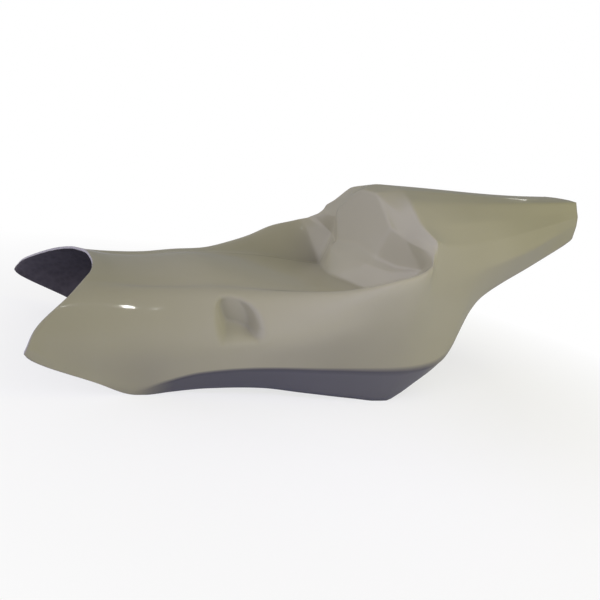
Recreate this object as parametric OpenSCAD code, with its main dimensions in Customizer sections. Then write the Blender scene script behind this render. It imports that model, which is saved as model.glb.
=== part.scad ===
// Racing seat unit: a one-piece glass-fibre moulding for a motorcycle, open underneath and at the front.
// Frame: +X runs from the front wings to the tail, +Z is up,
// and the moulding is the same on both sides of y = 0.
// The outer skin is a net of rows (front to tail) and lines (middle to rim). The inner skin is the same net,
// moved inwards by the wall, and strips close the free edges.

/* [Size] */
// Length from the tips of the front wings to the end of the tail
length = 835; // [700:5:950]
// Greatest width over the hips, at the hip line
hip_width = 372; // [320:2:400]
// Thickness of the laminate
wall = 3; // [2:0.5:5]

/* [Seat] */
// Distance from the wing tips back to the middle of the tank edge
tank_cut = 72; // [40:1:110]
// Height of the seat pan at its middle
pan_height = 127; // [110:1:140]
// Height of the foot of the bum stop
foot_height = 157; // [145:1:165]
// Height of the top edge of the bum stop
stop_height = 256; // [230:1:270]
// Distance from the wing tips back to the bum stop
stop_x = 441; // [430:1:460]

/* [Side recess] */
// Distance from the wing tips back to the front of each side recess
recess_x = 196; // [185:1:215]
// Length of each side recess
recess_length = 45; // [35:1:55]
// Half the distance between the backs of the two recesses, at their front
recess_back = 115; // [105:1:118]

/* [Tail] */
// Height of the end of the tail at its middle
tail_height = 310; // [270:1:330]
// Width of the tail's end at its hip line
tail_end_width = 104; // [80:1:140]

/* [Net] */
// Rows before, and rows behind, the side recess
seat_rows = 12; // [8:1:16]
// Rows along the side recess
recess_rows = 8; // [6:1:10]
// Rows in the tail
tail_rows = 16; // [8:1:24]

/* [Hidden] */
half_length = length / 2;
tip_x = -half_length;
ramp_x = stop_x - 30;
stop_end_x = stop_x + 36;
seat_end_x = stop_x - 8;
lean_end = 170;
lean_start = 300;
recess_end = recess_x + recess_length;
steps = [3, 2, 2, 3, 7, 4, 1];
hip = hip_width / 2;
gel_colour = [0.75, 0.73, 0.60];

// A smooth curve through knots [x, value]

function slope(k, i) =
    let (a = max(i - 1, 0), b = min(i + 1, len(k) - 1))
    (k[b][1] - k[a][1]) / (k[b][0] - k[a][0]);

function span_of(k, x, i = 0) = (i >= len(k) - 2 || x < k[i + 1][0]) ? i : span_of(k, x, i + 1);

function hermite(p, q, m, n, h, u) =
    (2 * u * u * u - 3 * u * u + 1) * p + (u * u * u - 2 * u * u + u) * h * m
    + (3 * u * u - 2 * u * u * u) * q + (u * u * u - u * u) * h * n;

function curve(k, x) =
    let (i = span_of(k, x), h = k[i + 1][0] - k[i][0], u = max(0, min(1, (x - k[i][0]) / h)))
    hermite(k[i][1], k[i + 1][1], slope(k, i), slope(k, i + 1), h, u);

// The lines of the net: height and half width of each, with x measured from the wing tips

// Middle of the seat pan
pan_mid_z = [[0, 114], [72, 114.5], [100, 112], [150, 116.5], [190, 124.5], [215, 128], [315, pan_height],
    [ramp_x, pan_height - 1]];
// Edge of the pan, where the rider's thigh rests
pan_edge_y = [[0, 84], [58, 79], [107, 76], [155, 78], [200, 84], [250, 97], [340, 116], [453, 119]];
pan_edge_z = [[0, 108], [58, 106], [107, 103], [155, 107], [200, 115], [250, 119], [340, 124], [453, 124]];
// Shoulder: the soft crest between the top and the flank
shoulder_y = [[0, 126], [40, 112], [103, 104], [153, 106], [201, 118], [255, 132], [305, 153], [344, 169],
    [385, 181], [433, 178], [450, 166]];
shoulder_z = [[0, 82], [40, 93], [103, 99], [153, 104], [201, 111], [255, 118], [305, 131], [344, 144],
    [385, 163], [433, 181], [450, 194]];
// Hip line: the widest line of the flank, and the lower edge line of the tail
hip_y = [[0, 146], [11, 143], [60, 146], [115, 145], [200, 0.82 * hip], [265, 0.9 * hip], [340,
    0.98 * hip], [400, hip],
    [433, 0.98 * hip], [475, 163], [510, 150], [570, 131], [676, 105], [797, 62], [835, tail_end_width / 2]];
hip_z = [[0, 72], [11, 70], [60, 60], [115, 60], [200, 72], [265, 82], [340, 104], [400, 127],
    [433, 138], [475, 153], [510, 167], [570, 185], [676, 220], [797, 262], [835, 273]];
// Crease between the flank and the tucked-under lower band
crease_y = [[0, 162], [60, 157], [115, 150], [143, 155], [179, 159], [245, 167], [334, 172], [438, 172],
    [512, 157], [537, 147], [575, 124], [610, 111], [718, 82], [798, 62], [835, 47]];
crease_z = [[0, 54], [20, 43], [60, 25], [115, 5], [143, 17], [179, 30], [245, 41], [334, 44], [438, 46],
    [490, 49], [518, 58], [537, 76], [548, 93], [575, 125], [610, 153], [718, 200], [798, 237], [835, 251]];
// Rim: the free lower edge
rim_y = [[0, 164], [20, 163], [43, 160.5], [65, 157.5], [76, 155.5], [92, 152], [115, 149], [143, 148],
    [194, 147],
    [260, 150], [312, 155], [383, 159], [442, 159],
    [480, 156], [515, 150], [537, 144], [575, 121], [610, 108], [718, 79], [798, 59], [835, 44]];
rim_z = [[0, 47], [6, 41.5], [20, 35], [43, 26.5], [65, 18.5], [76, 14], [92, 6.5], [104, 2], [115, 0],
    [128, 0],
    [152, 3.5], [194, 8], [260, 11], [312, 8],
    [383, 3], [438, 0], [458, 10], [480, 25], [515, 48], [537, 70], [548, 87], [575, 120], [610, 147],
    [718, 195], [798, 232], [835, 246]];
// Tail: the middle, the edge of the flat top and the upper edge line
tail_mid_z = [[stop_end_x, 269], [549, 277], [700, 292], [835, tail_height]];
tail_top_y = [[458, 80], [560, 62], [700, 46], [835, 34]];
tail_top_z = [[458, 255], [560, 266], [700, 287], [835, tail_height - 1]];
tail_edge_y = [[457, 118], [555, 95], [708, 65], [822, 44], [835, 42]];
tail_edge_z = [[457, 229], [555, 244], [708, 268], [822, 294], [835, 297]];
// Tail: the shoulder that runs out of the bevel and fades into the side
tail_side_y = [[462, 150], [490, 141], [530, 127], [570, 115], [640, 99], [824, 51]];
tail_side_z = [[462, 216], [490, 212], [530, 214], [570, 221], [640, 236], [824, 285]];

// The front edge: how far each line starts behind the wing tips
// Lines: 0 middle, 1, 2 on the pan, 3 pan edge, 4 shoulder, 5 hip, 6 crease, 7 rim
front_x = [tank_cut, tank_cut - 1, tank_cut - 6, tank_cut - 14, 39, 11, 2, 0];
// The foot of the ramp, and the end of the tail, for the same lines
ramp_xs = [ramp_x, ramp_x + 13, ramp_x + 27, ramp_x + 42, seat_end_x, seat_end_x, seat_end_x, seat_end_x];
tail_start_x = [stop_end_x, stop_end_x - 3, 458, 457, 462, 468, 468, 468];
tail_end_x = [length, length - 1, length - 5, length - 8, length - 11, length - 13, length - 7, length - 5];

// Key points of a row in the seat

function seat_point(j, x) =
    j == 0 ? [x, 0, curve(pan_mid_z, x)]
    : j == 1 ? [x, 0.4 * curve(pan_edge_y, x), 0.86 * curve(pan_mid_z, x) + 0.14 * curve(pan_edge_z, x)]
    : j == 2 ? [x, 0.75 * curve(pan_edge_y, x), 0.45 * curve(pan_mid_z, x) + 0.55 * curve(pan_edge_z, x)]
    : j == 3 ? [x, curve(pan_edge_y, x), curve(pan_edge_z, x)]
    : j == 4 ? [x, curve(shoulder_y, x), curve(shoulder_z, x)]
    : j == 5 ? [x, curve(hip_y, x), curve(hip_z, x)]
    : j == 6 ? [x, curve(crease_y, x), curve(crease_z, x)]
    : [x, curve(rim_y, x), max(curve(rim_z, x), 0)];

function tail_point(j, x) =
    let (y2 = curve(tail_top_y, x), z2 = curve(tail_top_z, x), z0 = curve(tail_mid_z, x))
    j == 0 ? [x, 0, z0]
    : j == 1 ? [x, 0.44 * y2, 0.93 * z0 + 0.07 * z2]
    : j == 2 ? [x, y2, z2]
    : j == 3 ? [x, curve(tail_edge_y, x), curve(tail_edge_z, x)]
    : j == 4 ? [x, curve(tail_side_y, x), curve(tail_side_z, x)]
    : seat_point(j, x);

// Key points of the faceted bum stop, in rows from its foot to the tail

stop_rows = [
    // foot of the wall, behind the ramp
    [[stop_x - 12, 0, foot_height], [stop_x - 12, 50, foot_height], [stop_x + 8, 90, foot_height + 1],
        [stop_x + 30, 122, 169], [stop_x + 4, 172, 187]],
    // lower edge of the panels
    [[stop_x, 0, 178], [stop_x, 55, 170], [stop_x + 17, 88, 165],
        [stop_x + 31, 124, 172], [stop_x + 9, 165, 193]],
    // corner between the middle panel, the side panel and the bevel
    [[stop_x, 0, 218], [stop_x, 74, 217], [stop_x + 6, 86, 210],
        [stop_x + 14, 99, 203], [stop_x + 15, 157, 200]],
    // top edge of the middle panel, and the middle of the bevel
    [[stop_x, 0, stop_height], [stop_x, 20, stop_height], [stop_x + 11, 84, 233],
        [stop_x + 15, 109, 217], [stop_x + 19, 152, 208]],
    // outer edge of the bevel
    [[stop_end_x, 0, 269], [stop_end_x - 3, 35, 268], [458, 80, 255],
        [457, 118, 229], [462, 150, 216]]
];
stop_flank_x = [stop_x - 1, stop_x + 6, stop_x + 13, stop_x + 20, stop_x + 27];

function stop_row(r) = [for (j = [0 : 7]) j <= 4 ? stop_rows[r][j] : seat_point(j, stop_flank_x[r])];
stop_splits = [1, 2, 3, 2];
stop_net = concat(
    [for (r = [0 : 3]) for (i = [0 : stop_splits[r] - 1])
        let (u = i / stop_splits[r]) (1 - u) * stop_row(r) + u * stop_row(r + 1)],
    [stop_row(4)]
);

// All key rows

// The rows stand square to the seat, but lean with the edge of the tank cut-out and with the foot of the ramp
function seat_row(x) = [
    for (j = [0 : 7])
        let (start = max(0, 1 - x / lean_end), stop = max(0, (x - lean_start) / (seat_end_x - lean_start)))
        seat_point(j, x + front_x[j] * start * start + (ramp_xs[j] - seat_end_x) * stop * stop)
];
function tail_row(i) = [
    for (j = [0 : 7])
        let (u = i / tail_rows)
        tail_point(j, tail_start_x[j] + (tail_end_x[j] - tail_start_x[j]) * u)
];

seat_xs = concat(
    [for (i = [0 : seat_rows - 1]) recess_x * i / seat_rows],
    [for (i = [0 : recess_rows]) recess_x + recess_length * i / recess_rows],
    [for (i = [1 : seat_rows]) recess_end + (seat_end_x - recess_end) * i / seat_rows]
);
key_rows = concat(
    [for (x = seat_xs) seat_row(x)],
    stop_net,
    [for (i = [1 : tail_rows]) tail_row(i)]
);
rows = len(key_rows);
last = rows - 1;
first_stop_row = len(seat_xs);
last_stop_row = first_stop_row + len(stop_net) - 1;

// Steps across a row: rounded in the seat, flat between the lines in the bum stop and tail

function flip(p) = [p[0], -p[1], p[2]];
function rounded(r, j) = j < 4 || j > 5 ? 0 : max(0.3, min(1, 1 - (key_rows[r][5][0] - seat_end_x) / 150));
function across_point(k, j, u, soft, before) =
    let (p = k[j], q = k[j + 1])
    let (m = (q - before) / 2, n = (j + 1 >= 6 ? q - p : (k[j + 2] - p) / 2))
    soft * hermite(p, q, m, n, 1, u) + (1 - soft) * (p + (q - p) * u);
function before(k, j) = j == 0 ? flip(k[1]) : k[j - 1];

// The flank leaves the shoulder in a direction that turns evenly from the ramp to the tail
function leaving(k) = k[5] - k[3];
function before_flank(r) =
    let (t = (r - first_stop_row + 1) / (last_stop_row - first_stop_row + 2))
    let (from = leaving(key_rows[first_stop_row - 1]), to = leaving(key_rows[last_stop_row + 1]))
    key_rows[r][5] - (1 - t) * from - t * to;
function step_point(r, j, u) =
    let (k = key_rows[r], in_stop = j == 4 && r >= first_stop_row && r <= last_stop_row)
    across_point(k, j, u, rounded(r, j), in_stop ? before_flank(r) : before(k, j));
function seat_skin(x, s) =
    let (j = min(floor(s), 6), k = seat_row(x))
    across_point(k, j, s - j, j >= 6 ? 0 : 1, before(k, j));

// The side recess. Its outline is a patch with four corners and four middles, each [x, line], where 4 is the
// shoulder, 5 the hip line and 6 the crease. Its back has the same eight points as [x, height].
recess_outline = [
    [recess_x + 2, 4.16], [recess_x + 15, 4.02], [recess_x + 30, 4.17], [recess_end - 1, 4.5],
    [recess_end + 1, 5.08], [recess_x + 24, 5.13], [recess_x + 2, 5.19], [recess_x - 3, 4.57]
];
recess_floor = [
    [recess_x + 6, 102], [recess_x + 17, 107], [recess_x + 29, 104], [recess_x + 38, 92],
    [recess_x + 41, 77], [recess_x + 28, 81], [recess_x + 14, 83], [recess_x + 7, 92]
];
function bent(p, m, q, t) = (1 - t) * (1 - 2 * t) * p + 4 * t * (1 - t) * m + t * (2 * t - 1) * q;
function patch(o, a, b) =
    (1 - b) * bent(o[0], o[1], o[2], a) + b * bent(o[6], o[5], o[4], a)
    + (1 - a) * bent(o[0], o[7], o[6], b) + a * bent(o[2], o[3], o[4], b)
    - (1 - a) * (1 - b) * o[0] - a * (1 - b) * o[2] - a * b * o[4] - (1 - a) * b * o[6];
function back_y(x) = recess_back + 0.4 * (x - recess_x);
function floor_point(p) = [p[0], back_y(p[0]), p[1]];

// Where the net is drawn towards the outline of the recess, fading out away from it
first_line = 4;
last_line = 5.25;
cell_a = 1 / recess_rows;
cell_b = 1 / (steps[4] + 1);
function clamp(v) = max(0, min(1, v));
function drawn(x, s) =
    let (a = (x - recess_x) / recess_length, b = (s - first_line) / (last_line - first_line))
    let (ca = clamp(a), cb = clamp(b), fade = clamp(1 - abs(a - ca)) * clamp(1 - 2 * abs(b - cb)))
    let (there = [recess_x + ca * recess_length, first_line + cb * (last_line - first_line)])
    [x, s] + fade * (patch(recess_outline, ca, cb) - there);
function in_recess(a, b) = a > 0.01 && a < 0.99 && b > 0.01 && b < 0.99;
function inner_share(a, cell) = clamp((a - cell) / (1 - 2 * cell));
function seat_net_point(x, s) =
    let (a = (x - recess_x) / recess_length)
    let (b = s <= 5 ? (s - first_line) * steps[4] * cell_b : 1 - (last_line - s) * steps[5] * cell_b)
    in_recess(a, b)
        ? floor_point(patch(recess_floor, inner_share(a, cell_a), inner_share(b, cell_b)))
        : let (w = drawn(x, s)) seat_skin(w[0], w[1]);

middle = steps[0] + steps[1] + steps[2] + steps[3] + steps[4] + steps[5] + steps[6];
function half_row(r) = concat(
    [for (j = [0 : 6]) for (i = [0 : steps[j] - 1])
        r < first_stop_row ? seat_net_point(seat_xs[r], j + i / steps[j]) : step_point(r, j, i / steps[j])],
    [key_rows[r][7]]
);
outer = [
    for (r = [0 : rows - 1])
        let (h = half_row(r))
        concat([for (i = [middle : -1 : 1]) flip(h[i])], h)
];
across = len(outer[0]);
edge = across - 1;

// The inner skin

function unit(v) = v / max(norm(v), 1e-6);
function normal_at(g, r, c) =
    let (along = g[min(r + 1, rows - 1)][c] - g[max(r - 1, 0)][c])
    let (over = g[r][min(c + 1, across - 1)] - g[r][max(c - 1, 0)])
    unit(cross(along, over));
normals = [for (r = [0 : rows - 1]) [for (c = [0 : across - 1]) normal_at(outer, r, c)]];
// The mean of the normals round a point, which is shorter on a sharp ridge, so the inner skin stays inside it
function inward(r, c) =
    (2 * normals[r][c] + normals[max(r - 1, 0)][c] + normals[min(r + 1, last)][c]
    + normals[r][max(c - 1, 0)] + normals[r][min(c + 1, edge)]) / 6;
// The wall is thinner where the skin is folded sharply, at the shoulder beside the bum stop
fold_wall = 0.4;
fold_column = steps[0] + steps[1] + steps[2] + steps[3];
function wall_at(r, c) =
    let (off = abs(abs(c - middle) - fold_column) / 4)
    let (away = max(first_stop_row - r, r - last_stop_row, 0) / 5)
    wall * (fold_wall + (1 - fold_wall) * min(1, norm([max(off - 0.5, 0), away])));
function inner_point(r, c) =
    let (p = outer[r][c] - wall_at(r, c) * inward(r, c))
    [r == last ? outer[r][c][0] - wall : max(p[0], 0), p[1], max(p[2], 0)];
inner = [for (r = [0 : rows - 1]) [for (c = [0 : across - 1]) inner_point(r, c)]];

// The shell

function at(skin, r, c) = skin * rows * across + r * across + c;
function quad(a, b, c, d) = [[a, b, c], [a, c, d]];

module seat_shell() {
    points = concat([for (r = outer) each r], [for (r = inner) each r]);
    faces = concat(
        // outer and inner skin
        [for (r = [0 : last - 1]) for (c = [0 : edge - 1])
            each quad(at(0, r, c), at(0, r, c + 1), at(0, r + 1, c + 1), at(0, r + 1, c))],
        [for (r = [0 : last - 1]) for (c = [0 : edge - 1])
            each quad(at(1, r, c), at(1, r + 1, c), at(1, r + 1, c + 1), at(1, r, c + 1))],
        // free lower edge on both sides, and the front edge
        [for (r = [0 : last - 1])
            each quad(at(0, r, 0), at(0, r + 1, 0), at(1, r + 1, 0), at(1, r, 0))],
        [for (r = [0 : last - 1])
            each quad(at(0, r, edge), at(1, r, edge), at(1, r + 1, edge), at(0, r + 1, edge))],
        [for (c = [0 : edge - 1])
            each quad(at(0, 0, c), at(1, 0, c), at(1, 0, c + 1), at(0, 0, c + 1))],
        // end of the tail, outside and inside
        [for (c = [0 : middle - 2])
            each quad(at(0, last, c), at(0, last, c + 1), at(0, last, edge - 1 - c), at(0, last, edge - c))],
        [for (c = [0 : middle - 2])
            each quad(at(1, last, c), at(1, last, edge - c), at(1, last, edge - 1 - c), at(1, last, c + 1))],
        [[at(0, last, middle - 1), at(0, last, middle), at(0, last, middle + 1)]],
        [[at(1, last, middle - 1), at(1, last, middle + 1), at(1, last, middle)]],
        quad(at(0, last, 0), at(0, last, edge), at(1, last, edge), at(1, last, 0))
    );
    color(gel_colour)
        translate([tip_x, 0, 0])
            polyhedron(points = points, faces = faces, convexity = 10);
}

seat_shell();
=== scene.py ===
import bpy
import math
from mathutils import Matrix, Vector


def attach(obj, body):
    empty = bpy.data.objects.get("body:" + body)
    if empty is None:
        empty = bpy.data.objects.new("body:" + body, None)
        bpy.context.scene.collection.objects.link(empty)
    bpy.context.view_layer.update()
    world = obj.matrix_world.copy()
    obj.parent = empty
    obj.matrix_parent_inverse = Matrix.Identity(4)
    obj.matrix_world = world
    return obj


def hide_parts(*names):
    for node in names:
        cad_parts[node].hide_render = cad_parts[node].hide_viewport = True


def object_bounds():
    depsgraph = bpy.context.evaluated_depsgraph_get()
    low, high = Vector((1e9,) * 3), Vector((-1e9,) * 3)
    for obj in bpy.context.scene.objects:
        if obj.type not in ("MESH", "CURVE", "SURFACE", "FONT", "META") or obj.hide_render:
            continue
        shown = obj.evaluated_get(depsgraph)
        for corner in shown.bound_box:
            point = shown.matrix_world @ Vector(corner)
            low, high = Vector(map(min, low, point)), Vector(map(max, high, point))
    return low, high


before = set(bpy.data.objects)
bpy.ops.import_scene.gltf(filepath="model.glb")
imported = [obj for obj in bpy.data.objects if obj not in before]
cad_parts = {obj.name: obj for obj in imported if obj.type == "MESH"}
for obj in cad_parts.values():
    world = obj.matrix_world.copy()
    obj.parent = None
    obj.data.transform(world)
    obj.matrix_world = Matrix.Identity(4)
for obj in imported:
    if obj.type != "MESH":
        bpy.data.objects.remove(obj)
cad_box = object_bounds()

# Racing seat unit: one glass-fibre shell. All lines below are in millimetres, x measured from the wing
# tips to the tail, and become metres in the frame of the part when the skin is made.

length = 835.0
hip_width = 372.0
wall = 3.0
tank_cut = 72.0
pan_height = 127.0
foot_height = 157.0
stop_height = 256.0
stop_x = 441.0
tail_height = 310.0
tail_end_width = 104.0

hip = hip_width / 2
ramp_x = stop_x - 30
stop_end_x = stop_x + 36
seat_end_x = stop_x - 8
lean_start, lean_end = 300.0, 170.0
recess_x, recess_length, recess_back = 196.0, 45.0, 115.0
recess_end = recess_x + recess_length

# The lines of the moulding as knots (x, value)
pan_mid_z = [(0, 114), (72, 114.5), (100, 112), (150, 116.5), (190, 124.5), (215, 128),
             (315, pan_height), (ramp_x, pan_height - 1)]
pan_edge_y = [(0, 84), (58, 79), (107, 76), (155, 78), (200, 84), (250, 97), (340, 116), (453, 119)]
pan_edge_z = [(0, 108), (58, 106), (107, 103), (155, 107), (200, 115), (250, 119), (340, 124), (453, 124)]
shoulder_y = [(0, 126), (40, 112), (103, 104), (153, 106), (201, 118), (255, 132), (305, 153), (344, 169),
              (385, 181), (433, 178), (450, 166)]
shoulder_z = [(0, 82), (40, 93), (103, 99), (153, 104), (201, 111), (255, 118), (305, 131), (344, 144),
              (385, 163), (433, 181), (450, 194)]
hip_y = [(0, 146), (11, 143), (60, 146), (115, 145), (200, 0.82 * hip), (265, 0.9 * hip),
         (340, 0.98 * hip), (400, hip), (433, 0.98 * hip), (475, 163), (510, 150), (570, 131), (676, 105),
         (797, 62), (835, tail_end_width / 2)]
hip_z = [(0, 72), (11, 70), (60, 60), (115, 60), (200, 72), (265, 82), (340, 104), (400, 127), (433, 138),
         (475, 153), (510, 167), (570, 185), (676, 220), (797, 262), (835, 273)]
crease_y = [(0, 162), (60, 157), (115, 150), (143, 155), (179, 159), (245, 167), (334, 172), (438, 172),
            (512, 157), (537, 147), (575, 124), (610, 111), (718, 82), (798, 62), (835, 47)]
crease_z = [(0, 54), (20, 43), (60, 25), (115, 5), (143, 17), (179, 30), (245, 41), (334, 44), (438, 46),
            (490, 49), (518, 58), (537, 76), (548, 93), (575, 125), (610, 153), (718, 200), (798, 237),
            (835, 251)]
rim_y = [(0, 164), (20, 163), (43, 160.5), (65, 157.5), (76, 155.5), (92, 152), (115, 149), (143, 148),
         (194, 147), (260, 150), (312, 155), (383, 159), (442, 159), (480, 156), (515, 150), (537, 144),
         (575, 121), (610, 108), (718, 79), (798, 59), (835, 44)]
rim_z = [(0, 47), (6, 41.5), (20, 35), (43, 26.5), (65, 18.5), (76, 14), (92, 6.5), (104, 2), (115, 0),
         (128, 0), (152, 3.5), (194, 8), (260, 11), (312, 8), (383, 3), (438, 0), (458, 10), (480, 25),
         (515, 48), (537, 70), (548, 87), (575, 120), (610, 147), (718, 195), (798, 232), (835, 246)]
tail_mid_z = [(stop_end_x, 269), (549, 277), (700, 292), (835, tail_height)]
tail_top_y = [(458, 80), (560, 62), (700, 46), (835, 34)]
tail_top_z = [(458, 255), (560, 266), (700, 287), (835, tail_height - 1)]
tail_edge_y = [(457, 118), (555, 95), (708, 65), (822, 44), (835, 42)]
tail_edge_z = [(457, 229), (555, 244), (708, 268), (822, 294), (835, 297)]
tail_side_y = [(462, 150), (490, 141), (530, 127), (570, 115), (640, 99), (824, 51)]
tail_side_z = [(462, 216), (490, 212), (530, 214), (570, 221), (640, 236), (824, 285)]

# The eight lines are the middle of the pan, two on the pan, its edge, the shoulder, the hip, the crease of
# the lower band and the free rim. How far each starts behind the wing tips, and where it ends:
front_x = [tank_cut, tank_cut - 1, tank_cut - 6, tank_cut - 14, 39, 11, 2, 0]
ramp_xs = [ramp_x, ramp_x + 13, ramp_x + 27, ramp_x + 42, seat_end_x, seat_end_x, seat_end_x, seat_end_x]
tail_start_x = [stop_end_x, stop_end_x - 3, 458, 457, 462, 468, 468, 468]
tail_end_x = [length, length - 1, length - 5, length - 8, length - 11, length - 13, length - 7, length - 5]

# The faceted bum stop: foot of the wall, lower edge of the panels, their corner with the bevel, top edge
# and outer edge of the bevel
stop_rows = [
    [(stop_x - 12, 0, foot_height), (stop_x - 12, 50, foot_height), (stop_x + 8, 90, foot_height + 1),
     (stop_x + 30, 122, 169), (stop_x + 4, 172, 187)],
    [(stop_x, 0, 178), (stop_x, 55, 170), (stop_x + 17, 88, 165), (stop_x + 31, 124, 172),
     (stop_x + 9, 165, 193)],
    [(stop_x, 0, 218), (stop_x, 74, 217), (stop_x + 6, 86, 210), (stop_x + 14, 99, 203),
     (stop_x + 15, 157, 200)],
    [(stop_x, 0, stop_height), (stop_x, 20, stop_height), (stop_x + 11, 84, 233), (stop_x + 15, 109, 217),
     (stop_x + 19, 152, 208)],
    [(stop_end_x, 0, 269), (stop_end_x - 3, 35, 268), (458, 80, 255), (457, 118, 229), (462, 150, 216)],
]
stop_flank_x = [stop_x - 1, stop_x + 6, stop_x + 13, stop_x + 20, stop_x + 27]
stop_splits = [1, 2, 3, 2]

# The side recess: its outline as four corners and four middles, each (x, line), and its back as (x, height)
recess_outline = [(recess_x + 2, 4.16), (recess_x + 15, 4.02), (recess_x + 30, 4.17), (recess_end - 1, 4.5),
                  (recess_end + 1, 5.08), (recess_x + 24, 5.13), (recess_x + 2, 5.19), (recess_x - 3, 4.57)]
recess_floor = [(recess_x + 6, 102), (recess_x + 17, 107), (recess_x + 29, 104), (recess_x + 38, 92),
                (recess_x + 41, 77), (recess_x + 28, 81), (recess_x + 14, 83), (recess_x + 7, 92)]
recess_turn = 0.4
first_line, last_line = 4.0, 5.25


def hermite(p, q, m, n, h, u):
    """Height of a smooth curve between two knots."""
    return ((2 * u ** 3 - 3 * u * u + 1) * p + (u ** 3 - 2 * u * u + u) * h * m
            + (3 * u * u - 2 * u ** 3) * q + (u ** 3 - u * u) * h * n)


def curve(knots, x):
    """Value of the smooth curve through the knots at x."""
    i = 0
    while i < len(knots) - 2 and x >= knots[i + 1][0]:
        i += 1

    def slope(k):
        a, b = max(k - 1, 0), min(k + 1, len(knots) - 1)
        return (knots[b][1] - knots[a][1]) / (knots[b][0] - knots[a][0])

    (xa, va), (xb, vb) = knots[i], knots[i + 1]
    u = max(0.0, min(1.0, (x - xa) / (xb - xa)))
    return hermite(va, vb, slope(i), slope(i + 1), xb - xa, u)


def seat_point(line, x):
    """A point of a line in the seat. Lines 1 and 2 lie between the middle and the edge of the pan."""
    mid, edge_y, edge_z = curve(pan_mid_z, x), curve(pan_edge_y, x), curve(pan_edge_z, x)
    if line == 0:
        return Vector((x, 0, mid))
    if line == 1:
        return Vector((x, 0.4 * edge_y, 0.86 * mid + 0.14 * edge_z))
    if line == 2:
        return Vector((x, 0.75 * edge_y, 0.45 * mid + 0.55 * edge_z))
    if line == 3:
        return Vector((x, edge_y, edge_z))
    pair = {4: (shoulder_y, shoulder_z), 5: (hip_y, hip_z), 6: (crease_y, crease_z), 7: (rim_y, rim_z)}[line]
    return Vector((x, curve(pair[0], x), max(curve(pair[1], x), 0)))


def tail_point(line, x):
    """A point of a line in the tail. Its top, edge and side are lines 2 to 4, and line 1 lies on the top."""
    if line == 0:
        return Vector((x, 0, curve(tail_mid_z, x)))
    top_y, top_z = curve(tail_top_y, x), curve(tail_top_z, x)
    if line == 1:
        return Vector((x, 0.44 * top_y, 0.93 * curve(tail_mid_z, x) + 0.07 * top_z))
    if line == 2:
        return Vector((x, top_y, top_z))
    if line == 3:
        return Vector((x, curve(tail_edge_y, x), curve(tail_edge_z, x)))
    if line == 4:
        return Vector((x, curve(tail_side_y, x), curve(tail_side_z, x)))
    return seat_point(line, x)


def seat_row(x):
    start = max(0.0, 1 - x / lean_end) ** 2
    stop = max(0.0, (x - lean_start) / (seat_end_x - lean_start)) ** 2
    return [seat_point(j, x + front_x[j] * start + (ramp_xs[j] - seat_end_x) * stop) for j in range(8)]


def tail_row(u):
    return [tail_point(j, tail_start_x[j] + (tail_end_x[j] - tail_start_x[j]) * u) for j in range(8)]


def stop_row(r):
    return [Vector(stop_rows[r][j]) if j <= 4 else seat_point(j, stop_flank_x[r]) for j in range(8)]


# How finely the net is divided: steps between the lines, and rows before, in and after the recess. Rows
# are added beside the bum stop so that its first columns have steps of about row_step.
spans = [9, 8, 6, 10, 14, 12, 7]
front_rows, recess_rows, rear_rows, tail_rows = 54, 16, 54, 100
row_step, stepped_columns = 3.6, 43
recess_wall = 2
recess_columns = spans[4] + round(spans[5] * (last_line - 5))
cell_a = 1 / recess_rows
cell_b = 1 / recess_columns
middle = sum(spans)
shoulder_column = sum(spans[:4])
crease_column = sum(spans[:6])
tail_edges = [sum(spans[:3]), shoulder_column]


def flip(p):
    return Vector((p[0], -p[1], p[2]))


def clamp(v):
    return max(0.0, min(1.0, v))


def across_point(row, j, u, soft, before=None):
    """A point between two lines of a row, from flat (soft 0) to fully rounded (soft 1)."""
    p, q = row[j], row[j + 1]
    before = before or (flip(row[1]) if j == 0 else row[j - 1])
    m = (q - before) / 2
    n = q - p if j + 1 >= 6 else (row[j + 2] - p) / 2
    smooth = Vector([hermite(p[c], q[c], m[c], n[c], 1, u) for c in range(3)])
    return p.lerp(q, u).lerp(smooth, soft)


def seat_skin(x, line):
    j = min(int(line), 6)
    return across_point(seat_row(x), j, line - j, 0.0 if j >= 6 else 1.0)


def bent(p, m, q, t):
    """The curve through two ends and a middle."""
    return [(1 - t) * (1 - 2 * t) * a + 4 * t * (1 - t) * b + t * (2 * t - 1) * c for a, b, c in zip(p, m, q)]


def patch(o, a, b):
    """A point of the patch inside eight outline points."""
    top, foot = bent(o[0], o[1], o[2], a), bent(o[6], o[5], o[4], a)
    left, right = bent(o[0], o[7], o[6], b), bent(o[2], o[3], o[4], b)
    return [(1 - b) * top[i] + b * foot[i] + (1 - a) * left[i] + a * right[i]
            - (1 - a) * (1 - b) * o[0][i] - a * (1 - b) * o[2][i] - a * b * o[4][i] - (1 - a) * b * o[6][i]
            for i in (0, 1)]


def drawn(x, line):
    """Where a point of the seat's net goes when the net is drawn towards the outline of the recess."""
    a, b = (x - recess_x) / recess_length, (line - first_line) / (last_line - first_line)
    ca, cb = clamp(a), clamp(b)
    fade = clamp(1 - abs(a - ca)) * clamp(1 - 2 * abs(b - cb))
    to = patch(recess_outline, ca, cb)
    return (x + fade * (to[0] - recess_x - ca * recess_length),
            line + fade * (to[1] - first_line - cb * (last_line - first_line)))


def recess_point(a, b):
    """A point of the recess: its wall for the first cells in from the outline, then its flat back."""
    def inside(v, cell):
        return clamp((v - recess_wall * cell) / (1 - 2 * recess_wall * cell))

    share = min(1.0, min(a, 1 - a) / (recess_wall * cell_a), min(b, 1 - b) / (recess_wall * cell_b))
    x, z = patch(recess_floor, inside(a, cell_a), inside(b, cell_b))
    back = Vector((x, recess_back + recess_turn * (x - recess_x), z))
    if share == 1.0:
        return back
    near = [round(v) if min(v, 1 - v) < recess_wall * cell - 1e-6 else v
            for v, cell in ((a, cell_a), (b, cell_b))]
    x, line = patch(recess_outline, *near)
    return seat_skin(x, line).lerp(back, share)


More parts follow.
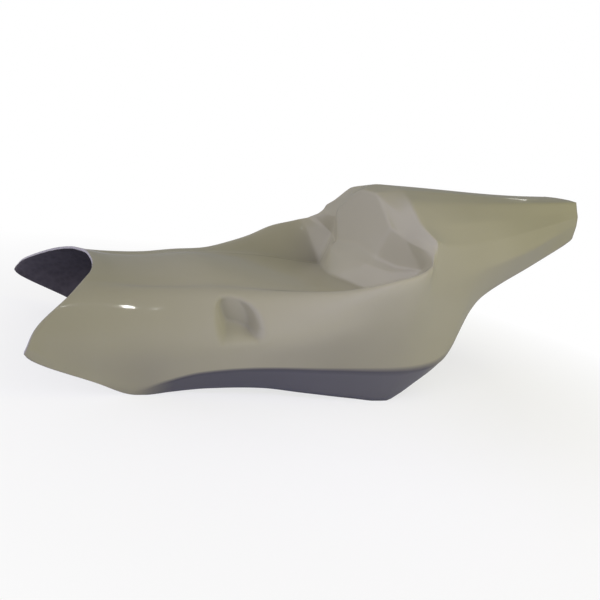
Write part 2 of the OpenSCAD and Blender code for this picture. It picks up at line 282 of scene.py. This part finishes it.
def seat_half(x):
    """Half of a row of the seat, with the recess in the rows that it crosses."""
    points = []
    for j, steps in enumerate(spans):
        for i in range(steps):
            line = j + i / steps
            a = (x - recess_x) / recess_length
            b = ((line - first_line) * spans[4] * cell_b if line <= 5
                 else 1 - (last_line - line) * spans[5] * cell_b)
            in_outline = 0.01 < a < 0.99 and 0.01 < b < 0.99
            points.append(recess_point(a, b) if in_outline else seat_skin(*drawn(x, line)))
    return points + [seat_row(x)[7]]


def flat_half(row, before_flank=None):
    """Half of a row in the bum stop and tail: flat facets, with a rounded flank that fades to the tail."""
    flank_fade, least_soft = 150, 0.3
    soft = max(least_soft, min(1.0, 1 - (row[5].x - seat_end_x) / flank_fade))
    points = []
    for j, steps in enumerate(spans):
        for i in range(steps):
            points.append(across_point(row, j, i / steps, soft if j in (4, 5) else 0.0,
                                       before_flank if j == 4 else None))
    return points + [row[7]]


seat_xs = [recess_x * i / front_rows for i in range(front_rows)]
seat_xs += [recess_x + recess_length * i / recess_rows for i in range(recess_rows + 1)]
seat_xs += [recess_end + (seat_end_x - recess_end) * i / rear_rows for i in range(1, rear_rows + 1)]
half = [seat_half(x) for x in seat_xs]

# The bum stop's own rows, with a flank that leaves the shoulder in a direction that turns evenly
stops = [stop_row(0)]
for r, splits in enumerate(stop_splits):
    ends = list(zip(stop_row(r), stop_row(r + 1)))
    stops += [[p.lerp(q, (i + 1) / splits) for p, q in ends] for i in range(splits)]
turn_end = tail_row(1 / 16)
start_turn, end_turn = [k[5] - k[3] for k in (seat_row(seat_end_x), turn_end)]
for r, row in enumerate(stops):
    t = (r + 1) / (len(stops) + 1)
    goal = flat_half(row, row[5] - start_turn * (1 - t) - end_turn * t)
    last = half[-1]
    longest = max((q - p).length for p, q in zip(last[:stepped_columns], goal[:stepped_columns]))
    n = max(2, round(longest / row_step))
    half += [[p.lerp(q, i / n) for p, q in zip(last, goal)] for i in range(1, n + 1)]
half += [flat_half(tail_row(i / tail_rows)) for i in range(1, tail_rows + 1)]


def in_recess(r, c):
    return (front_rows - 1 <= r <= front_rows + recess_rows + 1
            and shoulder_column - 1 <= c <= shoulder_column + recess_columns + 1)


def smoothed(net, times):
    """Rounds the edges of the facets, as a mould is rounded. The free edges, the lower crease and the
    edges of the tail are kept, and the recess is rounded only once."""
    own_share, neighbour_share = 0.4, 0.15
    for turn in range(times):
        old = [list(r) for r in net]
        for r in range(1, len(net) - 1):
            for c in range(len(net[0]) - 1):
                tail_edge = r > len(net) - tail_rows and c in tail_edges
                if c == crease_column or tail_edge or (turn > 0 and in_recess(r, c)):
                    continue
                left = old[r][c - 1] if c else flip(old[r][1])
                around = left + old[r][c + 1] + old[r - 1][c] + old[r + 1][c]
                net[r][c] = old[r][c] * own_share + around * neighbour_share
    return net


half = smoothed(half, 3)
skin = [[flip(p) for p in reversed(r[1:])] + r for r in half]
rows, across = len(skin), len(skin[0])


# The skin in metres, kept inside the box of the solid, and its faces with the closed end of the tail
low, high = [Vector(v) for v in cad_box]


def in_frame(p):
    metres = (p.x - length / 2) / 1000, p.y / 1000, p.z / 1000
    return [min(max(v, a), b) for v, a, b in zip(metres, low, high)]


faces = [(r * across + c, (r + 1) * across + c, (r + 1) * across + c + 1, r * across + c + 1)
         for r in range(rows - 1) for c in range(across - 1)]
end = (rows - 1) * across
for c in range(middle):
    a, b, d, e = end + c, end + c + 1, end + across - 2 - c, end + across - 1 - c
    faces.append((e, d, b, a) if b != d else (e, b, a))

outer = bpy.data.meshes.new("outer_skin")
outer.from_pydata([in_frame(p) for r in skin for p in r], [], faces)
outer.update()

# The laminate is thinner where the skin is folded sharply, at the shoulder beside the bum stop: within so
# many columns above and below the shoulder, and so many millimetres before and behind
fold_wall, fold_above, fold_below, fold_plain, fold_reach = 0.4, 13, 8, 0.5, 80
# Painted shade under the tuck of the flank, on the lower band and its crease: where it starts and ends, and
# over how many millimetres it fades
shade_start, shade_start_fade, shade_end, shade_end_fade = 112, 40, 535, 50
wall_shares, painted_band_shade, painted_crease_shade = [], [], []
for r in skin:
    for c, p in enumerate(r):
        column = abs(c - middle)
        off = column - shoulder_column
        off = max(0.0, (off / fold_below if off > 0 else -off / fold_above) - fold_plain)
        away = max(seat_end_x - p.x, p.x - stop_end_x, 0) / fold_reach
        wall_shares.append(fold_wall + (1 - fold_wall) * min(1.0, math.hypot(off, away)))
        painted_shade = clamp((p.x - shade_start) / shade_start_fade) * clamp((shade_end - p.x) / shade_end_fade)
        painted_band_shade.append(painted_shade if column >= crease_column else 0.0)
        painted_crease_shade.append(painted_shade if column == crease_column else 0.0)
for name, values in (("wall_share", wall_shares), ("painted_band_shade", painted_band_shade), ("painted_crease_shade", painted_crease_shade)):
    outer.attributes.new(name, "FLOAT", "POINT").data.foreach_set("value", values)
shell = bpy.data.objects.new("gelcoat_shell", outer)
bpy.context.scene.collection.objects.link(shell)


# Materials

def add(nodes, kind, values=None, **settings):
    """Adds a node with its settings and the values of its sockets."""
    node = nodes.new(kind)
    for key, value in settings.items():
        setattr(node, key, value)
    for key, value in (values or {}).items():
        node.inputs[key].default_value = value
    return node


def new_material(name):
    m = bpy.data.materials.new(name)
    m.use_nodes = True
    return m, m.node_tree.nodes, m.node_tree.links, m.node_tree.nodes["Principled BSDF"]


def finish_group():
    """Masks of a hand-laid moulding: slow cloud, fine grain and the fibres that show through."""
    g = bpy.data.node_groups.new("laminate_finish", "ShaderNodeTree")
    masks = (("Cloud", 9.0, "ShaderNodeTexNoise", "Fac"), ("Grain", 600.0, "ShaderNodeTexNoise", "Fac"),
             ("Fibre", 120.0, "ShaderNodeTexVoronoi", "Distance"))
    for name, scale, kind, output in masks:
        socket = g.interface.new_socket(name + " Scale", in_out="INPUT", socket_type="NodeSocketFloat")
        socket.default_value = scale
    for name, scale, kind, output in masks:
        g.interface.new_socket(name, in_out="OUTPUT", socket_type="NodeSocketFloat")
    n, l = g.nodes, g.links
    group_in, group_out = n.new("NodeGroupInput"), n.new("NodeGroupOutput")
    where = n.new("ShaderNodeTexCoord")
    for name, scale, kind, output in masks:
        texture = n.new(kind)
        l.new(where.outputs["Object"], texture.inputs["Vector"])
        l.new(group_in.outputs[name + " Scale"], texture.inputs["Scale"])
        l.new(texture.outputs[output], group_out.inputs[name])
    return g


finish = finish_group()


def mottled(n, l, mask, dark, light):
    """A colour between two, by a mask of the finish. Gives the colour and the finish node."""
    masks = add(n, "ShaderNodeGroup", node_tree=finish)
    mix = add(n, "ShaderNodeMix", data_type="RGBA", values={"A": dark, "B": light})
    l.new(masks.outputs[mask], mix.inputs["Factor"])
    return mix.outputs["Result"], masks


def toned(n, l, colour, attribute, tone):
    """The colour multiplied by a tone where the attribute of the points is 1."""
    amount = add(n, "ShaderNodeAttribute", attribute_name=attribute)
    mix = add(n, "ShaderNodeMix", data_type="RGBA", blend_type="MULTIPLY", values={"B": tone})
    l.new(amount.outputs["Fac"], mix.inputs["Factor"])
    l.new(colour, mix.inputs["A"])
    return mix.outputs["Result"]


def bumped(n, l, height, strength, distance, bsdf):
    bump = add(n, "ShaderNodeBump", values={"Strength": strength, "Distance": distance})
    l.new(height, bump.inputs["Height"])
    l.new(bump.outputs["Normal"], bsdf.inputs["Normal"])


def gelcoat_material():
    m, n, l, bsdf = new_material("cream_gelcoat")
    colour, masks = mottled(n, l, "Cloud", (0.293, 0.278, 0.190, 1), (0.331, 0.314, 0.220, 1))
    # Painted shade: the lower band below the crease is darkened and made bluer
    colour = toned(n, l, colour, "painted_band_shade", (0.37, 0.385, 0.58, 1))
    # Painted shade: the crease line is darkened further
    colour = toned(n, l, colour, "painted_crease_shade", (0.70, 0.68, 0.72, 1))
    l.new(colour, bsdf.inputs["Base Color"])
    bumped(n, l, masks.outputs["Grain"], 0.04, 0.0006, bsdf)
    bsdf.inputs["Roughness"].default_value = 0.42
    bsdf.inputs["Specular IOR Level"].default_value = 0.25
    bsdf.inputs["Coat Weight"].default_value = 0.6
    bsdf.inputs["Coat Roughness"].default_value = 0.06
    return m


def laminate_material():
    m, n, l, bsdf = new_material("raw_laminate")
    colour, masks = mottled(n, l, "Fibre", (0.060, 0.053, 0.052, 1), (0.105, 0.094, 0.090, 1))
    l.new(colour, bsdf.inputs["Base Color"])
    bumped(n, l, masks.outputs["Fibre"], 0.3, 0.001, bsdf)
    bsdf.inputs["Roughness"].default_value = 0.5
    return m


def edge_material():
    m, n, l, bsdf = new_material("trimmed_edge")
    colour, masks = mottled(n, l, "Grain", (0.26, 0.25, 0.24, 1), (0.36, 0.35, 0.33, 1))
    l.new(colour, bsdf.inputs["Base Color"])
    bsdf.inputs["Roughness"].default_value = 0.6
    return m


gelcoat, laminate, trimmed = gelcoat_material(), laminate_material(), edge_material()


# The wall: the skin is given its thickness inwards, with the raw laminate inside and a trimmed edge

def wall_tree():
    g = bpy.data.node_groups.new("laminate_wall", "GeometryNodeTree")
    for name, kind in (("Geometry", "Geometry"), ("Wall", "Float"), ("Lowest Corner", "Vector"),
                       ("Highest Corner", "Vector"), ("Gelcoat", "Material"), ("Laminate", "Material"),
                       ("Edge", "Material")):
        g.interface.new_socket(name, in_out="INPUT", socket_type="NodeSocket" + kind)
    g.interface.new_socket("Geometry", in_out="OUTPUT", socket_type="NodeSocketGeometry")
    n, l = g.nodes, g.links
    group_in, group_out = n.new("NodeGroupInput"), n.new("NodeGroupOutput")

    def painted(geometry, material, selection=None):
        paint = n.new("GeometryNodeSetMaterial")
        l.new(geometry, paint.inputs["Geometry"])
        if selection:
            l.new(selection, paint.inputs["Selection"])
        l.new(group_in.outputs[material], paint.inputs["Material"])
        return paint.outputs[0]

    # The way inwards: the normals, evened out, times the wall and its share at each point
    inwards = add(n, "ShaderNodeMath", operation="MULTIPLY", values={1: -1})
    l.new(group_in.outputs["Wall"], inwards.inputs[0])
    share = add(n, "GeometryNodeInputNamedAttribute", values={"Name": "wall_share"})
    depth = add(n, "ShaderNodeMath", operation="MULTIPLY")
    l.new(inwards.outputs[0], depth.inputs[0])
    l.new(share.outputs["Attribute"], depth.inputs[1])
    facing = n.new("GeometryNodeInputNormal")
    even = add(n, "GeometryNodeBlurAttribute", data_type="FLOAT_VECTOR", values={"Iterations": 3})
    l.new(facing.outputs[0], even.inputs["Value"])
    extrude = add(n, "GeometryNodeExtrudeMesh", values={"Individual": False})
    l.new(group_in.outputs["Geometry"], extrude.inputs["Mesh"])
    l.new(even.outputs[0], extrude.inputs["Offset"])
    l.new(depth.outputs[0], extrude.inputs["Offset Scale"])

    # The inner skin stays in the box of the solid
    place = n.new("GeometryNodeInputPosition")
    above = add(n, "ShaderNodeVectorMath", operation="MAXIMUM")
    l.new(place.outputs[0], above.inputs[0])
    l.new(group_in.outputs["Lowest Corner"], above.inputs[1])
    below = add(n, "ShaderNodeVectorMath", operation="MINIMUM")
    l.new(above.outputs[0], below.inputs[0])
    l.new(group_in.outputs["Highest Corner"], below.inputs[1])
    move = n.new("GeometryNodeSetPosition")
    l.new(extrude.outputs["Mesh"], move.inputs["Geometry"])
    l.new(below.outputs[0], move.inputs["Position"])
    turned = n.new("GeometryNodeFlipFaces")
    l.new(move.outputs[0], turned.inputs["Mesh"])
    inside = painted(turned.outputs[0], "Laminate")
    inside = painted(inside, "Edge", extrude.outputs["Side"])
    outside = painted(group_in.outputs["Geometry"], "Gelcoat")

    join = n.new("GeometryNodeJoinGeometry")
    l.new(inside, join.inputs[0])
    l.new(outside, join.inputs[0])
    weld = add(n, "GeometryNodeMergeByDistance", values={"Distance": 0.00001})
    l.new(join.outputs[0], weld.inputs["Geometry"])
    shade = n.new("GeometryNodeSetShadeSmooth")
    l.new(weld.outputs[0], shade.inputs["Geometry"])
    flat = add(n, "GeometryNodeSetShadeSmooth", values={"Shade Smooth": False})
    l.new(shade.outputs[0], flat.inputs["Geometry"])
    l.new(extrude.outputs["Side"], flat.inputs["Selection"])
    real = n.new("GeometryNodeRealizeInstances")
    l.new(flat.outputs[0], real.inputs[0])
    l.new(real.outputs[0], group_out.inputs[0])
    return g


tree = wall_tree()
layer = shell.modifiers.new("laminate_wall", "NODES")
layer.node_group = tree
values = {"Wall": wall / 1000, "Lowest Corner": low, "Highest Corner": high,
          "Gelcoat": gelcoat, "Laminate": laminate, "Edge": trimmed}
for item in tree.interface.items_tree:
    if item.in_out == "INPUT" and item.name in values:
        layer[item.identifier] = values[item.name]
made = bpy.data.meshes.new_from_object(shell.evaluated_get(bpy.context.evaluated_depsgraph_get()))
shell.modifiers.remove(layer)
shell.data = made
made.name = "gelcoat_shell"
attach(shell, "root")
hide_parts("seat_shell")


# Stage: the pale backdrop shows fully to the camera and through glass, and dimly in the gloss of the gelcoat
backdrop_in_gloss = 0.25
floor_reach = 9
floor_height = -0.0004

floor_mesh = bpy.data.meshes.new("floor")
floor_mesh.from_pydata([(x * floor_reach, y * floor_reach, floor_height)
                        for x, y in ((-1, -1), (1, -1), (1, 1), (-1, 1))], [], [(0, 1, 2, 3)])
floor = bpy.data.objects.new("floor", floor_mesh)
bpy.context.scene.collection.objects.link(floor)


def backdrop_share(n, l):
    """How fully a ray sees the backdrop."""
    path = n.new("ShaderNodeLightPath")
    dimmed = add(n, "ShaderNodeMath", operation="MULTIPLY", values={1: backdrop_in_gloss})
    l.new(path.outputs["Is Glossy Ray"], dimmed.inputs[0])
    clear_ray = add(n, "ShaderNodeMath", operation="MAXIMUM")
    l.new(dimmed.outputs[0], clear_ray.inputs[0])
    l.new(path.outputs["Is Transmission Ray"], clear_ray.inputs[1])
    seen = add(n, "ShaderNodeMath", operation="MAXIMUM")
    l.new(path.outputs["Is Camera Ray"], seen.inputs[0])
    l.new(clear_ray.outputs[0], seen.inputs[1])
    return seen.outputs[0]


def floor_material():
    """Pale to the camera, with a white glow that takes over away from the part, and dark to light that
    bounces."""
    m, n, l, bsdf = new_material("pale_floor")
    bsdf.inputs["Roughness"].default_value = 0.9
    bsdf.inputs["Specular IOR Level"].default_value = 0.1
    white = add(n, "ShaderNodeEmission", values={"Color": (1, 1, 1, 1)})
    seen = backdrop_share(n, l)
    tint = add(n, "ShaderNodeMix", data_type="RGBA",
               values={"A": (0.16, 0.16, 0.34, 1), "B": (0.80, 0.80, 0.81, 1)})
    l.new(seen, tint.inputs["Factor"])
    l.new(tint.outputs["Result"], bsdf.inputs["Base Color"])
    where = n.new("ShaderNodeTexCoord")
    far = add(n, "ShaderNodeVectorMath", operation="LENGTH")
    l.new(where.outputs["Object"], far.inputs[0])
    fade = add(n, "ShaderNodeMapRange",
               values={"From Min": 0.30, "From Max": 0.8, "To Min": 0.70, "To Max": 1.0})
    l.new(far.outputs["Value"], fade.inputs["Value"])
    amount = add(n, "ShaderNodeMath", operation="MULTIPLY")
    l.new(fade.outputs[0], amount.inputs[0])
    l.new(seen, amount.inputs[1])
    mix = n.new("ShaderNodeMixShader")
    l.new(amount.outputs[0], mix.inputs[0])
    l.new(bsdf.outputs[0], mix.inputs[1])
    l.new(white.outputs[0], mix.inputs[2])
    l.new(mix.outputs[0], n["Material Output"].inputs["Surface"])
    return m


floor_mesh.materials.append(floor_material())

world = bpy.data.worlds.new("studio")
bpy.context.scene.world = world
world.use_nodes = True
wn, wl = world.node_tree.nodes, world.node_tree.links
room = wn["Background"]
room.inputs["Color"].default_value = (0.02, 0.02, 0.02, 1)
room.inputs["Strength"].default_value = 1.0
backdrop = add(wn, "ShaderNodeBackground", values={"Color": (1, 1, 1, 1), "Strength": 1.0})
choice = wn.new("ShaderNodeMixShader")
wl.new(backdrop_share(wn, wl), choice.inputs[0])
wl.new(room.outputs[0], choice.inputs[1])
wl.new(backdrop.outputs[0], choice.inputs[2])
wl.new(choice.outputs[0], wn["World Output"].inputs["Surface"])


def softbox(name, place, aim, size, power, colour, mirrored=False):
    """A lamp that the camera doesn't see, and the gelcoat mirrors only where that is said."""
    data = bpy.data.lights.new(name, "AREA")
    data.shape = "RECTANGLE"
    data.size, data.size_y = size
    data.energy = power
    data.color = colour
    lamp = bpy.data.objects.new(name, data)
    lamp.location = place
    lamp.rotation_euler = (Vector(aim) - Vector(place)).to_track_quat("-Z", "Y").to_euler()
    lamp.visible_camera = False
    lamp.visible_glossy = mirrored
    bpy.context.scene.collection.objects.link(lamp)


softbox("key_side", (0.25, -1.2, 0.50), (0.10, 0, 0.12), (1.6, 1.0), 3.3, (1.0, 0.98, 0.58))
softbox("key_rear", (0.75, -1.25, 0.18), (0.15, 0, 0.1), (1.4, 0.7), 10.5, (1.0, 0.98, 1.0))
softbox("key_front", (-0.3, -1.1, 0.45), (-0.1, 0, 0.1), (1.0, 0.8), 0.4, (0.95, 1.0, 0.97))
softbox("top", (0.42, -0.42, 1.25), (0.15, 0, 0.1), (1.0, 0.7), 3.6, (1.0, 0.95, 0.30))
softbox("front", (-1.6, 0, 0.32), (0, 0, 0.15), (2.8, 0.6), 19.5, (0.88, 0.86, 1.0))
softbox("front_card", (-1.7, 0, 0.5), (0, 0, 0.15), (3.0, 2.2), 12.0, (0.88, 0.84, 1.0), True)
softbox("stop_fill", (-0.12, -0.42, 0.38), (0.04, -0.10, 0.17), (0.25, 0.20), 0.85, (0.66, 0.64, 1.0))
softbox("front_far", (-1.0, 0.8, 0.9), (0.05, 0, 0.2), (1.2, 0.9), 5.0, (0.76, 0.74, 1.0))
softbox("front_near", (-0.9, -0.9, 0.5), (0, 0, 0.15), (1.0, 0.8), 1.6, (0.45, 0.44, 1.0))
softbox("tail_near", (1.3, -0.8, 0.4), (0.1, 0, 0.15), (1.2, 0.7), 2.4, (1.0, 0.96, 0.66))
softbox("tail_far", (1.2, 0.9, 0.6), (0.1, 0, 0.2), (1.2, 0.9), 4.0, (1.0, 0.98, 0.9))
softbox("far_side", (-0.3, 1.5, 0.7), (0, 0, 0.15), (1.4, 0.9), 5.0, (1.0, 0.97, 0.85))
softbox("ceiling_tube", (-0.065, -0.30, 1.8), (-0.3, -0.12, 0.09), (0.045, 0.03), 0.7, (1, 1, 1), True)
softbox("tail_lamp", (0.895, 0.545, 0.617), (0.284, -0.029, 0.29), (0.05, 0.03), 0.011, (1, 1, 0.95), True)

# The camera at the photo's angle, from its own right and upward directions
camera_place = Vector((-0.4625, -0.743, 0.274))
right, up = Vector((0.876, -0.434, 0.211)).normalized(), Vector((-0.086, 0.2916, 0.952))
up = (up - right * up.dot(right)).normalized()
camera_data = bpy.data.cameras.new("camera")
camera_data.sensor_fit = "HORIZONTAL"
camera_data.sensor_width = 36
camera_data.lens = 36
camera_data.clip_start = 0.01
camera = bpy.data.objects.new("camera", camera_data)
bpy.context.scene.collection.objects.link(camera)
turn = Matrix((right, up, right.cross(up))).transposed()
camera.matrix_world = Matrix.LocRotScale(camera_place, turn, None)
bpy.context.scene.camera = camera
bpy.context.scene.view_settings.view_transform = "Standard"
